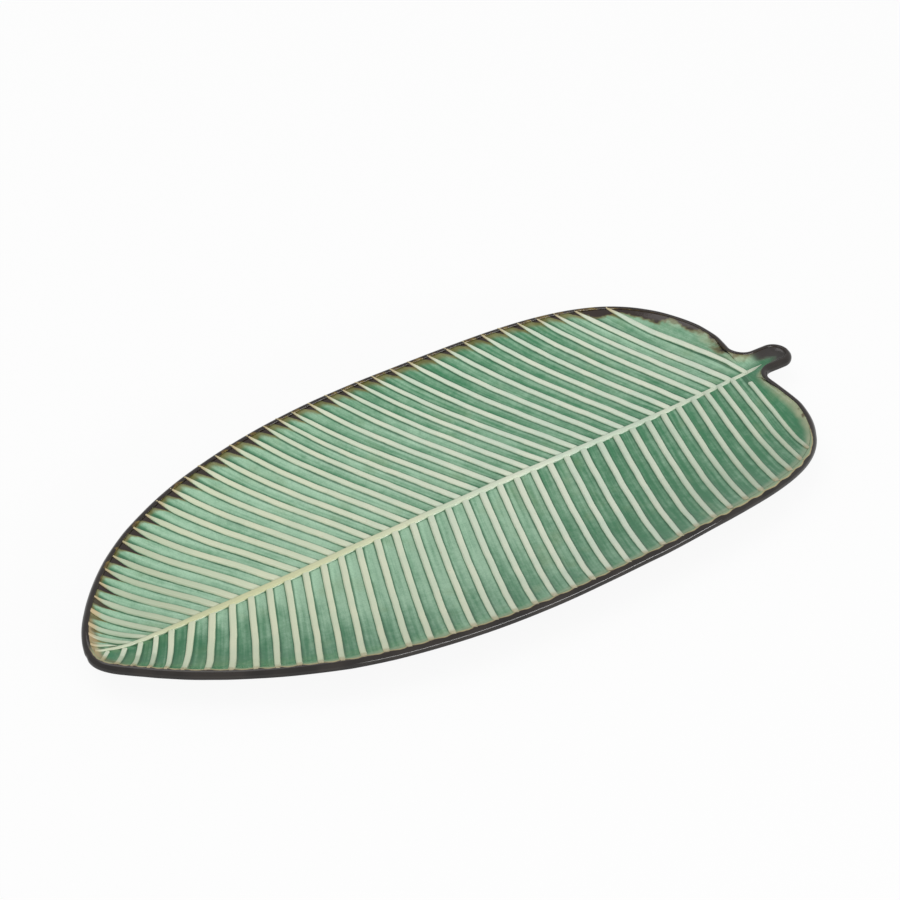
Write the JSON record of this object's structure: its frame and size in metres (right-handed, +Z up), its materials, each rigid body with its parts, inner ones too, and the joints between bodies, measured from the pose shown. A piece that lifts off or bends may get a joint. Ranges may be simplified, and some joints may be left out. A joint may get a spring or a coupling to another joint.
{
  "type": "leaf shaped plate",
  "caption": "Shallow leaf shaped serving plate in glazed stoneware, with raised veins, a dark rolled rim, a short stem and a foot ring.",
  "frame": {"origin": "on the table plane under the middle of the plate's length and width, where the foot ring stands", "axes": "+X along the leaf from its tip to its stem, +Y across it to the left half, +Z up"},
  "size_m": [0.4, 0.186, 0.0205],
  "materials": {
    "green_glaze": "glossy reactive green glaze, darker where it pools",
    "vein_glaze": "glossy glaze broken to cream over the raised veins",
    "rim_glaze": "glossy dark brown glaze",
    "bare_clay": "matt unglazed stoneware"
  },
  "bodies": {
    "root": {"leaf_body": "green_glaze", "rim_lip": "rim_glaze", "stem": "green_glaze", "midrib": "vein_glaze", "veins_left": "vein_glaze", "veins_right": "vein_glaze", "foot_ring": "bare_clay"}
  },
  "joints": []
}
